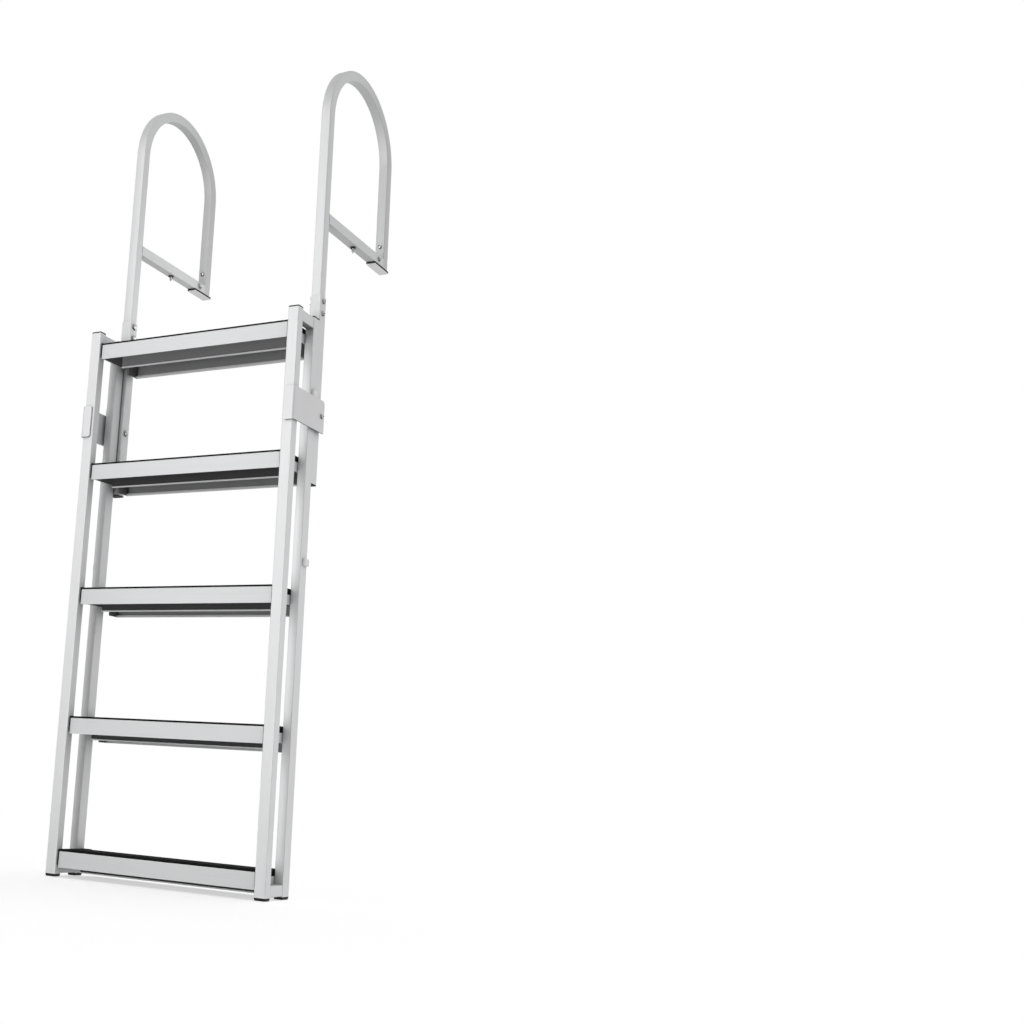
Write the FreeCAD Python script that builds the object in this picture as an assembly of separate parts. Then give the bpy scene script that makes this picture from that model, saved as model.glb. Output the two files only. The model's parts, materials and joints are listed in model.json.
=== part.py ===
import FreeCAD, Part
import math
import os

# A slide-up dock ladder: five deep treads between two pairs of stiles hang in front of two
# fixed posts. Each post carries a hooped handrail that is screwed down on the dock.
# Millimetres. +X runs along the treads, from the left-hand rail to the right-hand one as seen
# from the water, +Y runs onto the dock, +Z is up. The origin lies on the underside of the
# left-hand dock foot, in the middle of that face, so Z = 0 is the top of the dock.

# Driving dimensions: the handrails and their feet
rail_tube = 25.0            # outside width of the square handrail tube
rail_wall = 1.5
tube_corner = 2.0           # outer corner radius of the straight tubes
hoop_corner = 1.2           # flat along each outer corner of the bent tube
rail_inset = 6.2            # handrail plane inboard of the stiles' middle line
hoop_depth = 359.0          # front face of the front leg to rear face of the rear leg
hoop_top = 459.5            # top of the arch above the dock
foot_plate_thickness = 3.0
foot_pad_thickness = 3.0
foot_length = 81.0
foot_behind_leg = 6.0       # foot that sticks out behind the rear leg
dock_screw_setback = 181.0  # dock screw behind the front face of the front leg
dock_screw_shank = 8.0
access_hole = 17.0          # hole in the top wall that the screw goes in through
bore_clearance = 0.5        # a hole is this much wider than its screw

# Driving dimensions: the posts
post_wall = 1.5
post_fit = 0.25             # play between the handrail leg and the post, each side
post_top_below_dock = 183.0
post_length = 452.0
leg_in_post = 80.0
post_plug_flange = 2.5
post_plug_depth = 14.0

# Driving dimensions: the stiles
clear_width = 526.5         # between the front stiles
front_stile_width = 27.5
front_stile_depth = 22.5
rear_stile_width = 22.0
rear_stile_depth = 29.5
stile_wall = 1.8
stile_spread = 58.5         # front stile to rear stile
stile_to_post = 2.8         # running gap in front of the post
stile_above_tread = 30.5    # stile end above the first tread
stile_below_tread = 51.5    # stile end below the top of the last tread
cap_thickness = 3.2
cap_depth = 12.0
cap_draft = 0.3             # cap narrower than the stile, each side
lid_corner = 1.2            # flat along each upright edge of a cap or a plug
foot_height = 6.0
foot_taper = 1.5            # rubber foot narrower at the floor, each side
foot_plug_depth = 16.0
plug_play = 0.3             # plug narrower than the bore of its tube, each side
top_spacer_height = 27.0
bottom_spacer_height = 24.0
spacer_width = 20.0
bottom_spacer_lift = 0.8    # stile end to the underside of the bottom spacer

# Driving dimensions: the treads
tread_count = 5
tread_spacing = 304.8
first_tread_below_dock = 279.0
tread_depth = 133.0         # to just short of the back of the posts
tread_recess = 6.5          # tread face behind the front of the stiles
tread_plate = 3.0
flange_wall = 2.6
front_flange_drop = 36.7
middle_rib_drop = 48.0
rear_flange_drop = 51.0
middle_rib_setback = 50.0   # rib behind the tread's front face
middle_rib_short = 28.0     # rib ends short of the tread's ends
rib_bead = 5.0              # width of the bead along the rib's lower edge
rib_bead_height = 2.5
rear_lip = 11.0             # lip that the rear flange turns forward at its lower edge
rear_lip_height = 4.0
tread_nose = 2.0            # rounding of the front top edge
port_outer = 4.2            # radius of the screw ports under the plate
port_bore = 1.9
port_slot = 1.6
port_setback = 19.0
end_plate = 3.5             # plastic plate on each end of a tread
end_plate_drop = 31.0
end_plate_seat = 0.3
packing_bar_height = 22.0   # bar between the tread's end and the narrower rear stile
packing_bar_below_top = 10.0
packing_bar_play = 0.3      # bar to the back of the front stile
tread_to_post = 12.5        # notched rear corner to the post's side: nuts on it pass by
tread_ahead_of_post = 7.8   # the same in front of the post
mat_thickness = 4.6
mat_margin = 1.0
mat_rib_pitch = 8.0
mat_rib_height = 2.6
mat_rib_width = 4.0
mat_border = 9.0

# Driving dimensions: the guide brackets and the stops
bracket_plate = 3.5
guide_play = 1.2            # running play between bracket and stile
bracket_height = 77.0
bracket_top_below_dock = 437.0
bracket_reach = 26.5        # front flange, from its outer face inwards
bracket_bend = 6.0          # outside radius of the bend
bracket_corner = 5.0        # rounded corners of the front flange
bracket_chamfer = 6.0       # cut top corner beside the post
bracket_bolt = 6.0
bolt_below_bracket_top = 38.5
hexagon_width = 10.0        # bolt head and nut, across their flats
bolt_head_height = 4.0
nut_height = 6.0
washer_width = 12.5
washer_thickness = 1.5
bolt_past_nut = 1.5
block_height = 16.0
block_length = 20.0
block_width = 7.0
block_front_setback = 7.5   # block behind the rear stile's front face
stop_play = 0.3
lift = 300.0                # how far the ladder slides up

# Places that follow from them
stile_axis = clear_width / 2 + front_stile_width / 2
rail_axis_from_middle = stile_axis - rail_inset
middle_x = rail_axis_from_middle
rear_leg_back = foot_length / 2 - foot_behind_leg
front_leg_front = rear_leg_back - hoop_depth
leg_axis_y = front_leg_front + rail_tube / 2
tube_under = foot_plate_thickness + foot_pad_thickness
post_outer = rail_tube + 2 * (post_fit + post_wall)
post_front = leg_axis_y - post_outer / 2
post_outer_face = rail_axis_from_middle + post_outer / 2
post_inner_face = rail_axis_from_middle - post_outer / 2
post_top = -post_top_below_dock
rear_stile_back = post_front - stile_to_post
rear_stile_front = rear_stile_back - rear_stile_depth
front_stile_back = rear_stile_front - stile_spread
front_stile_front = front_stile_back - front_stile_depth
first_tread = -first_tread_below_dock
last_tread = first_tread - (tread_count - 1) * tread_spacing
stile_top = first_tread + stile_above_tread
stile_foot = last_tread - stile_below_tread
tread_front = front_stile_front + tread_recess
tread_half = clear_width / 2 - end_plate - end_plate_seat
notch_x = post_inner_face - tread_to_post
notch_y = post_front - tread_ahead_of_post
web_inner = stile_axis + front_stile_width / 2 + guide_play
web_outer = web_inner + bracket_plate
bracket_top = -bracket_top_below_dock
bracket_under = bracket_top - bracket_height
bracket_back = post_front + post_outer
flange_front = front_stile_front - guide_play - bracket_plate
bolt_z = bracket_top - bolt_below_bracket_top
block_front = rear_stile_front + block_front_setback
stile_outer_face = stile_axis + rear_stile_width / 2
stile_inner_face = stile_axis - rear_stile_width / 2


# Shapes are drawn with x measured from the ladder's middle plane, on the right-hand side
def block(x0, x1, y0, y1, z0, z1):
    return Part.makeBox(x1 - x0, y1 - y0, z1 - z0, FreeCAD.Vector(x0, y0, z0))


def rounded_bar(x0, x1, y0, y1, z0, z1, radius):
    bar = block(x0, x1, y0, y1, z0, z1)
    upright = [e for e in bar.Edges if abs(e.Vertexes[0].Z - e.Vertexes[1].Z) > 1e-6]
    return bar.makeFillet(radius, upright)


def lid(x0, x1, y0, y1, z0, z1):
    bar = block(x0, x1, y0, y1, z0, z1)
    upright = [e for e in bar.Edges if abs(e.Vertexes[0].Z - e.Vertexes[1].Z) > 1e-6]
    return bar.makeChamfer(lid_corner, upright)


def upright_tube(axis_x, width, front, depth, bottom, top, wall):
    left, right, back = axis_x - width / 2, axis_x + width / 2, front + depth
    outside = rounded_bar(left, right, front, back, bottom, top, tube_corner)
    bore = block(left + wall, right - wall, front + wall, back - wall, bottom - 1, top + 1)
    return outside.cut(bore)


def hole(start, direction, length, diameter):
    return Part.makeCylinder(diameter / 2, length, start, direction)


def right_side(shape):
    moved = shape.copy()
    moved.translate(FreeCAD.Vector(middle_x, 0, 0))
    return moved


def left_side(shape):
    mirrored = shape.mirror(FreeCAD.Vector(0, 0, 0), FreeCAD.Vector(1, 0, 0))
    return right_side(mirrored)


# The hooped handrail: two legs and a half-round arch, bent from one square tube
def square_section(y, z, size, flat):
    half = size / 2
    short = half - flat
    around = [(short, half), (half, short), (half, -short), (short, -half),
              (-short, -half), (-half, -short), (-half, short), (-short, half)]
    if flat <= 0:
        around = [(half, half), (half, -half), (-half, -half), (-half, half)]
    corners = [FreeCAD.Vector(rail_axis_from_middle + a, y + b, z) for a, b in around]
    return Part.Face(Part.makePolygon(corners + corners[:1]))


def hoop_solid(size, flat, leg_bottom, extra):
    front_y = leg_axis_y
    rear_y = rear_leg_back - rail_tube / 2
    bend = (rear_y - front_y) / 2
    bend_z = hoop_top - rail_tube / 2 - bend
    axis = FreeCAD.Vector(0, (front_y + rear_y) / 2, bend_z)
    arch = square_section(front_y, bend_z, size, flat)
    arch = arch.revolve(axis, FreeCAD.Vector(-1, 0, 0), 180)
    front = square_section(front_y, leg_bottom - extra, size, flat)
    front = front.extrude(FreeCAD.Vector(0, 0, bend_z - leg_bottom + extra))
    rear = square_section(rear_y, tube_under - extra, size, flat)
    rear = rear.extrude(FreeCAD.Vector(0, 0, bend_z - tube_under + extra))
    return front.fuse([arch, rear]).removeSplitter()


def handrail():
    leg_bottom = post_top - leg_in_post
    outside = hoop_solid(rail_tube, hoop_corner, leg_bottom, 0)
    bore = hoop_solid(rail_tube - 2 * rail_wall, 0, leg_bottom, 1)
    return outside.cut(bore)


# The dock tube lies between the legs of the hoop, with one screw hole down through it
def dock_tube():
    x0 = rail_axis_from_middle - rail_tube / 2
    y0 = front_leg_front + rail_tube
    y1 = rear_leg_back - rail_tube
    z0 = tube_under
    bar = block(x0, x0 + rail_tube, y0, y1, z0, z0 + rail_tube)
    along = [e for e in bar.Edges if abs(e.Vertexes[0].Y - e.Vertexes[1].Y) > 1e-6]
    bar = bar.makeFillet(tube_corner, along)
    inner = rail_tube - 2 * rail_wall
    bore = block(x0 + rail_wall, x0 + rail_wall + inner, y0 - 1, y1 + 1,
                 z0 + rail_wall, z0 + rail_wall + inner)
    screw_y = front_leg_front + dock_screw_setback
    up = FreeCAD.Vector(0, 0, 1)
    small = hole(FreeCAD.Vector(rail_axis_from_middle, screw_y, z0 - 1), up,
                 rail_tube / 2, dock_screw_shank + bore_clearance)
    wide = hole(FreeCAD.Vector(rail_axis_from_middle, screw_y, z0 + rail_tube / 2), up,
                rail_tube, access_hole)
    return bar.cut(bore).cut(small).cut(wide)


# The foot: a plate on the dock under a rubber pad, at the rear end of the dock tube
def foot_layer(bottom, top):
    x0 = rail_axis_from_middle - rail_tube / 2
    return block(x0, x0 + rail_tube, -foot_length / 2, foot_length / 2, bottom, top)


# The post: a larger tube that the front leg slides down into
def post():
    tube = upright_tube(rail_axis_from_middle, post_outer, post_front, post_outer,
                        post_top - post_length, post_top, post_wall)
    across = FreeCAD.Vector(1, 0, 0)
    start = FreeCAD.Vector(post_inner_face - 1, leg_axis_y, bolt_z)
    return tube.cut(hole(start, across, post_outer + 2, bracket_bolt + bore_clearance))


def post_plug():
    bottom = post_top - post_length
    x0, x1 = post_inner_face, post_outer_face
    y0, y1 = post_front, post_front + post_outer
    flange = lid(x0, x1, y0, y1, bottom - post_plug_flange, bottom)
    inset = post_wall + plug_play
    stem = block(x0 + inset, x1 - inset, y0 + inset, y1 - inset, bottom, bottom + post_plug_depth)
    return flange.fuse(stem).removeSplitter()


# The guide bracket: a bent plate beside both stiles, its flange round the front stile
def guide_bracket():
    x_end = web_outer - bracket_reach
    y_in, x_in = flange_front + bracket_plate, web_outer - bracket_plate
    r_out, r_in = bracket_bend, bracket_bend - bracket_plate
    V = FreeCAD.Vector
    bend = (web_outer - r_out, flange_front + r_out)
    diagonal = math.sqrt(0.5)
    edges = [
        Part.makeLine(V(x_end, flange_front, 0), V(bend[0], flange_front, 0)),
        Part.Arc(V(bend[0], flange_front, 0),
                 V(bend[0] + r_out * diagonal, bend[1] - r_out * diagonal, 0),
                 V(web_outer, bend[1], 0)).toShape(),
        Part.makeLine(V(web_outer, bend[1], 0), V(web_outer, bracket_back, 0)),
        Part.makeLine(V(web_outer, bracket_back, 0), V(x_in, bracket_back, 0)),
        Part.makeLine(V(x_in, bracket_back, 0), V(x_in, bend[1], 0)),
        Part.Arc(V(x_in, bend[1], 0),
                 V(bend[0] + r_in * diagonal, bend[1] - r_in * diagonal, 0),
                 V(bend[0], y_in, 0)).toShape(),
        Part.makeLine(V(bend[0], y_in, 0), V(x_end, y_in, 0)),
        Part.makeLine(V(x_end, y_in, 0), V(x_end, flange_front, 0)),
    ]
    outline = Part.Face(Part.Wire(edges))
    outline.translate(V(0, 0, bracket_under))
    plate = outline.extrude(V(0, 0, bracket_height))
    free = [e for e in plate.Edges
            if abs(e.Vertexes[0].Y - e.Vertexes[-1].Y) > bracket_plate / 2
            and all(abs(v.X - x_end) < 1e-6 for v in e.Vertexes)]
    plate = plate.makeFillet(bracket_corner, free)
    rear = [e for e in plate.Edges
            if all(abs(v.Y - bracket_back) < 1e-6 and abs(v.Z - bracket_top) < 1e-6
                   for v in e.Vertexes)]
    plate = plate.makeChamfer(bracket_chamfer, rear)
    packing = block(post_outer_face, web_inner, post_front + tube_corner,
                    bracket_back - tube_corner, bracket_under + bracket_chamfer,
                    bracket_top - 2 * bracket_chamfer)
    across = V(1, 0, 0)
    bore = hole(V(post_outer_face - 1, leg_axis_y, bolt_z), across,
                web_outer - post_outer_face + 2, bracket_bolt + bore_clearance)
    return plate.fuse(packing).removeSplitter().cut(bore)


# The bolt that holds the bracket on the post, head outside and nut inside
def hexagon_bar(x, length):
    corners = []
    radius = hexagon_width / math.sqrt(3)
    for corner in range(7):
        angle = math.radians(30 + 60 * corner)
        corners.append(FreeCAD.Vector(x, leg_axis_y + radius * math.cos(angle),
                                      bolt_z + radius * math.sin(angle)))
    return Part.Face(Part.makePolygon(corners)).extrude(FreeCAD.Vector(length, 0, 0))


def bracket_bolt_and_nut():
    V = FreeCAD.Vector
    across = V(1, 0, 0)
    start = post_inner_face - nut_height - bolt_past_nut
    shank = hole(V(start, leg_axis_y, bolt_z), across, web_outer - start, bracket_bolt)
    washer = hole(V(web_outer, leg_axis_y, bolt_z), across, washer_thickness, washer_width)
    head = hexagon_bar(web_outer + washer_thickness, bolt_head_height)
    nut = hexagon_bar(post_inner_face - nut_height, nut_height)
    return shank.fuse([washer, head, nut]).removeSplitter()


# The stiles, their caps, feet and spacers
def front_stile():
    return upright_tube(stile_axis, front_stile_width, front_stile_front, front_stile_depth,
                        stile_foot, stile_top, stile_wall)


def rear_stile():
    return upright_tube(stile_axis, rear_stile_width, rear_stile_front, rear_stile_depth,
                        stile_foot, stile_top, stile_wall)


def stile_cap(width, front, depth):
    x0, x1, y0, y1 = stile_axis - width / 2, stile_axis + width / 2, front, front + depth
    top = lid(x0 + cap_draft, x1 - cap_draft, y0 + cap_draft, y1 - cap_draft,
              stile_top, stile_top + cap_thickness)
    inset = stile_wall + plug_play
    stem = block(x0 + inset, x1 - inset, y0 + inset, y1 - inset, stile_top - cap_depth, stile_top)
    return top.fuse(stem).removeSplitter()


def outline_ring(x0, x1, y0, y1, z):
    V = FreeCAD.Vector
    return Part.makePolygon([V(x0, y0, z), V(x1, y0, z), V(x1, y1, z), V(x0, y1, z), V(x0, y0, z)])


def stile_foot_plug(width, front, depth):
    x0, x1, y0, y1 = stile_axis - width / 2, stile_axis + width / 2, front, front + depth
    under = outline_ring(x0 + foot_taper, x1 - foot_taper, y0 + foot_taper, y1 - foot_taper,
                         stile_foot - foot_height)
    over = outline_ring(x0, x1, y0, y1, stile_foot)
    tread = Part.makeLoft([under, over], True)
    inset = stile_wall + plug_play
    stem = block(x0 + inset, x1 - inset, y0 + inset, y1 - inset, stile_foot,
                 stile_foot + foot_plug_depth)
    return tread.fuse(stem).removeSplitter()


def spacer(bottom, height):
    x0 = stile_axis - spacer_width / 2
    bar = block(x0, x0 + spacer_width, front_stile_back, rear_stile_front, bottom, bottom + height)
    along = [e for e in bar.Edges if abs(e.Vertexes[0].Y - e.Vertexes[1].Y) > 1e-6]
    bar = bar.makeFillet(tube_corner, along)
    bore = block(x0 + stile_wall, x0 + spacer_width - stile_wall, front_stile_back - 1,
                 rear_stile_front + 1, bottom + stile_wall, bottom + height - stile_wall)
    return bar.cut(bore)


# The treads: an extrusion with three flanges, two screw ports and notched rear corners. A
# plastic plate closes each end, and a packing bar fills the room to the narrower rear stile
def tread_profile(z):
    V = FreeCAD.Vector
    y0, y1 = tread_front, tread_front + tread_depth
    rib = y0 + middle_rib_setback
    x = -tread_half

    def rect(ya, yb, za, zb, short=0):
        return block(x + short, tread_half - short, ya, yb, z + za, z + zb)

    plate = rect(y0, y1, -tread_plate, 0)
    nose = [e for e in plate.Edges
            if all(abs(v.Y - y0) < 1e-6 and abs(v.Z - z) < 1e-6 for v in e.Vertexes)]
    plate = plate.makeFillet(tread_nose, nose)
    pieces = [
        rect(y0, y0 + flange_wall, -front_flange_drop, -tread_nose),
        rect(rib - flange_wall / 2, rib + flange_wall / 2, -middle_rib_drop, -tread_plate / 2,
             middle_rib_short),
        rect(rib - rib_bead / 2, rib + rib_bead / 2, -middle_rib_drop,
             -middle_rib_drop + rib_bead_height, middle_rib_short),
        rect(y1 - flange_wall, y1, -rear_flange_drop, -tread_plate / 2),
        rect(y1 - rear_lip, y1, -rear_flange_drop, -rear_flange_drop + rear_lip_height),
    ]
    across = V(1, 0, 0)
    for y in (y0 + port_setback, y1 - port_setback):
        centre = z - tread_plate - port_outer + 0.8
        pieces.append(hole(V(x, y, centre), across, 2 * tread_half, 2 * port_outer))
    solid = plate.fuse(pieces).removeSplitter()
    for y in (y0 + port_setback, y1 - port_setback):
        centre = z - tread_plate - port_outer + 0.8
        bore = hole(V(x - 1, y, centre), across, 2 * tread_half + 2, 2 * port_bore)
        slot = block(x - 1, x + 2 * tread_half + 1, y - port_slot / 2, y + port_slot / 2,
                     centre - port_outer - 1, centre)
        solid = solid.cut(bore).cut(slot)
    return solid


def notches(z0, z1):
    inner, front = notch_x - end_plate, notch_y - end_plate
    right = block(inner, clear_width, front, front + tread_depth, z0, z1)
    left = block(-clear_width, -inner, front, front + tread_depth, z0, z1)
    return [left, right]


def tread(z):
    solid = tread_profile(z)
    for corner in notches(z - 2 * rear_flange_drop, z + mat_thickness):
        solid = solid.cut(corner)
    return solid


# The end plate turns the corner of the notch: beside the stiles, ahead of the post, beside it
def tread_end_plate(z):
    over = z + mat_thickness
    outer = tread_half + end_plate
    inner = notch_x - end_plate
    beside_stiles = block(tread_half, outer, tread_front, notch_y, z - end_plate_drop, over)
    ahead_of_post = block(inner, outer, notch_y - end_plate, notch_y, z - end_plate_drop, over)
    beside_post = block(inner, notch_x, notch_y - end_plate, tread_front + tread_depth,
                        z - rear_flange_drop, z)
    return beside_stiles.fuse([ahead_of_post, beside_post]).removeSplitter()


def packing_bars():
    bars = []
    for number in range(tread_count):
        top = first_tread - number * tread_spacing - packing_bar_below_top
        bars.append(block(tread_half + end_plate, stile_inner_face,
                          front_stile_back + packing_bar_play, notch_y,
                          top - packing_bar_height, top))
    return Part.makeCompound(bars)


def tread_mat(z):
    x = tread_half - mat_margin
    y0, y1 = tread_front + mat_margin, notch_y - end_plate - mat_margin
    body = block(-x, x, y0, y1, z, z + mat_thickness - mat_rib_height)
    rails = []
    count = int((y1 - y0 - 2 * mat_border) // mat_rib_pitch)
    first = (y0 + y1) / 2 - (count - 1) * mat_rib_pitch / 2
    for row in range(count):
        y = first + row * mat_rib_pitch
        rails.append(block(-x, x, y - mat_rib_width / 2, y + mat_rib_width / 2, z,
                           z + mat_thickness))
    return body.fuse(rails).removeSplitter()


# The stop blocks on the rear stiles: one sits on the bracket, one ends the lift
def stop_block(bottom):
    body = block(stile_outer_face, stile_outer_face + block_width, block_front,
                 block_front + block_length, bottom, bottom + block_height)
    outer = [e for e in body.Edges
             if all(abs(v.X - stile_outer_face - block_width) < 1e-6 for v in e.Vertexes)]
    return body.makeChamfer(1.2, outer)


def stop_blocks():
    upper = stop_block(bracket_top + stop_play)
    lower = stop_block(bracket_under - lift - stop_play - block_height)
    return Part.makeCompound([upper, lower])


def save(name, shape):
    shape.exportStep(os.path.join("parts", name + ".step"))


def build():
    os.makedirs("parts", exist_ok=True)
    sides = {"left": left_side, "right": right_side}
    fixed = {
        "handrail": handrail(),
        "dock_tube": dock_tube(),
        "foot_plate": foot_layer(0, foot_plate_thickness),
        "foot_pad": foot_layer(foot_plate_thickness, tube_under),
        "post": post(),
        "post_plug": post_plug(),
        "guide_bracket": guide_bracket(),
        "bracket_bolt": bracket_bolt_and_nut(),
    }
    front = (front_stile_width, front_stile_front, front_stile_depth)
    rear = (rear_stile_width, rear_stile_front, rear_stile_depth)
    sliding = {
        "front_stile": front_stile(),
        "rear_stile": rear_stile(),
        "stile_caps": Part.makeCompound([stile_cap(*front), stile_cap(*rear)]),
        "rubber_feet": Part.makeCompound([stile_foot_plug(*front), stile_foot_plug(*rear)]),
        "top_spacer": spacer(stile_top - top_spacer_height, top_spacer_height),
        "bottom_spacer": spacer(stile_foot + bottom_spacer_lift, bottom_spacer_height),
        "stop_blocks": stop_blocks(),
        "packing_bars": packing_bars(),
    }
    for side, place in sides.items():
        for name, shape in {**fixed, **sliding}.items():
            save(name + "_" + side, place(shape))
    for number in range(tread_count):
        z = first_tread - number * tread_spacing
        plate = tread_end_plate(z)
        save("tread_%d" % (number + 1), right_side(tread(z)))
        save("tread_mat_%d" % (number + 1), right_side(tread_mat(z)))
        save("tread_ends_%d" % (number + 1),
             Part.makeCompound([left_side(plate), right_side(plate)]))


build()
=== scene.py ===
# %% [markdown]
# A slide-up dock ladder in satin aluminium.
# Two hooped handrails stand on a dock. In front of their posts hangs a rigid ladder of five
# deep treads, which slides up out of the water. The solids come finished in size and place
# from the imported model. This lesson adds what solids leave out: bent rails with rounded
# corners, small fasteners and the finish of every surface.

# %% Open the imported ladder
import json
import math

import bmesh
import bpy
from mathutils import Matrix, Vector


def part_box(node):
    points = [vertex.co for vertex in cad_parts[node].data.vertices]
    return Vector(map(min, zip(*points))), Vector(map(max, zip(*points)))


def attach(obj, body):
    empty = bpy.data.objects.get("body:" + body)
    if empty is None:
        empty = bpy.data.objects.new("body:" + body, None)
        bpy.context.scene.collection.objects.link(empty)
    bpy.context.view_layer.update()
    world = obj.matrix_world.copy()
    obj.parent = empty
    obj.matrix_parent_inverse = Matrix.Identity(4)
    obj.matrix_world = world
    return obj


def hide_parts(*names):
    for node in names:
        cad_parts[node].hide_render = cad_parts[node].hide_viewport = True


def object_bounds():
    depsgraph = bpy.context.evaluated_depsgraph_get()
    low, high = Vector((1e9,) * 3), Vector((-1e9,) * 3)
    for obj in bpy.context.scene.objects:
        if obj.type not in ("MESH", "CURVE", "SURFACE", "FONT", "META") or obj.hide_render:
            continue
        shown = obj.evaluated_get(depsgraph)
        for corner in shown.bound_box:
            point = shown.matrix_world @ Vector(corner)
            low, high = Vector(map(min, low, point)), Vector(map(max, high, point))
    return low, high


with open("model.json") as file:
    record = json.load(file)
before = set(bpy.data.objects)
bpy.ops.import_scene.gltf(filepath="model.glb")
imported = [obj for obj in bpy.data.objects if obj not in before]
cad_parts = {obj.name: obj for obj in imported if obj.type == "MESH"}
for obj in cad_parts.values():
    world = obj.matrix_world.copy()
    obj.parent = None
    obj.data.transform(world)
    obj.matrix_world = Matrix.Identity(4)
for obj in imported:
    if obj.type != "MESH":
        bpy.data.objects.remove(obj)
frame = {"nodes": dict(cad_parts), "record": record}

for leftover in ("Cube", "Light", "Camera"):
    if leftover in bpy.data.objects:
        bpy.data.objects.remove(bpy.data.objects[leftover])
cad_box = [list(corner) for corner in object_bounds()]
print("solids:", len(frame["nodes"]), "box in metres:", cad_box)

# %% [markdown]
# The camera.
# A real photograph has a place, a direction, a tilt and a focal length, and all four can be
# worked out from straight edges whose real sizes are known. Here the photographer stood low
# and to the right, a little above the ladder's feet, and looked up. The picture is a crop
# of a wider one: its optical centre lies left of the middle, which is what shift is for. A
# lens could also be turned to get the same framing, but then upright edges would lean.

# %% Stand the camera where the photographer stood
camera_place = Vector((1.99585, -3.03267, -1.30515))
camera_turn = 0.555          # radians to the left of straight on
camera_rise = 0.19           # radians above the horizon
camera_lean = 0.067          # radians of roll
image_side = 1024.0
focal_in_pixels = 1370.985
optical_centre = 220.0       # pixels from the left edge of the picture
film_width = 36.0
nearest_seen = 0.05
farthest_seen = 200.0


def photographers_view():
    look = Vector((-math.sin(camera_turn) * math.cos(camera_rise),
                   math.cos(camera_turn) * math.cos(camera_rise), math.sin(camera_rise)))
    level = Vector((math.cos(camera_turn), math.sin(camera_turn), 0.0))
    above = level.cross(look)
    right = level * math.cos(camera_lean) + above * math.sin(camera_lean)
    up = above * math.cos(camera_lean) - level * math.sin(camera_lean)
    turn = Matrix((right, up, -look)).transposed().to_4x4()
    return Matrix.Translation(camera_place) @ turn


lens = bpy.data.cameras.new("portrait_lens")
lens.sensor_width = film_width
lens.lens = focal_in_pixels / image_side * film_width
lens.shift_x = (image_side / 2 - optical_centre) / image_side
lens.clip_start = nearest_seen
lens.clip_end = farthest_seen
camera = bpy.data.objects.new("portrait_camera", lens)
camera.matrix_world = photographers_view()
scene = bpy.context.scene
scene.collection.objects.link(camera)
scene.camera = camera
print("lens %.1f mm, shift %.3f" % (lens.lens, lens.shift_x))

# %% [markdown]
# Wiring nodes.
# Every finish below, and the studio's own light, is a small network of shader nodes. Adding
# nodes one by one takes three lines each, so a helper adds a node, sets it up and plugs in
# its sources in a single call. A second helper does the same for arithmetic.

# %% Helpers that wire shader nodes
def wire(tree, kind, feeds=None, **settings):
    made = tree.nodes.new(kind)
    for name, value in settings.items():
        setattr(made, name, value)
    for name, value in (feeds or {}).items():
        if isinstance(value, bpy.types.NodeSocket):
            tree.links.new(value, made.inputs[name])
        else:
            made.inputs[name].default_value = value
    return made


def figure(tree, operation, *values):
    made = wire(tree, "ShaderNodeMath", dict(enumerate(values)), operation=operation)
    return made.outputs[0]


kinds = [kind for kind in dir(bpy.types) if kind.startswith("ShaderNode")]
print("shader nodes to choose from:", len(kinds))

# %% [markdown]
# The studio dome.
# Satin metal shows the room more than the lamp, so the room comes first: a dome of even
# white light, a little stronger behind, to the right and overhead. Lamps alone in a dark
# room would give hard streaks. The dome is a world shader whose strength follows the
# direction. The camera looks past it at plain white paper.

# %% Light the dome
dome_base = 0.46             # the same from every side
dome_tilt = Vector((0.07, 0.27, 0.06))   # a little more from the right, the back and above
plain_white = (1.0, 1.0, 1.0, 1.0)


def light_the_dome():
    world = bpy.data.worlds.new("studio_dome")
    world.use_nodes = True
    tree = world.node_tree
    tree.nodes.clear()
    toward = wire(tree, "ShaderNodeTexCoord").outputs["Generated"]
    lean = wire(tree, "ShaderNodeVectorMath", {0: toward, 1: dome_tilt},
                operation="DOT_PRODUCT").outputs["Value"]
    strength = figure(tree, "ADD", lean, dome_base)
    room = wire(tree, "ShaderNodeBackground", {"Color": plain_white, "Strength": strength})
    paper = wire(tree, "ShaderNodeBackground", {"Color": plain_white, "Strength": 1.0})
    seen = wire(tree, "ShaderNodeLightPath").outputs["Is Camera Ray"]
    chosen = wire(tree, "ShaderNodeMixShader",
                  {0: seen, 1: room.outputs[0], 2: paper.outputs[0]})
    wire(tree, "ShaderNodeOutputWorld", {"Surface": chosen.outputs[0]})
    return world


scene.world = light_the_dome()
scene.view_settings.view_transform = "Standard"
scene.view_settings.look = "None"
print("dome strength %.2f, leaning by %.2f" % (dome_base, dome_tilt.length))

# %% [markdown]
# The soft boxes.
# Three soft boxes then shape the tubes. A tall narrow one stands in front, where the front
# faces of the ladder mirror it toward the camera, so that fronts are brighter than sides.
# One on the right is tipped down and lifts the lower right-hand faces. A very small one
# between the rails lights the inner faces of the left-hand hoop, which would otherwise sink
# into the same grey as the right-hand one.

# %% Hang the soft boxes
def soft_box(name, place, target, width, height, watts):
    lamp = bpy.data.lights.new(name, "AREA")
    lamp.shape = "RECTANGLE"
    lamp.size = width
    lamp.size_y = height
    lamp.energy = watts
    holder = bpy.data.objects.new(name, lamp)
    holder.location = place
    aim = Vector(target) - Vector(place)
    holder.rotation_euler = aim.to_track_quat("-Z", "Y").to_euler()
    holder.visible_camera = False
    scene.collection.objects.link(holder)
    return holder


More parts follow.
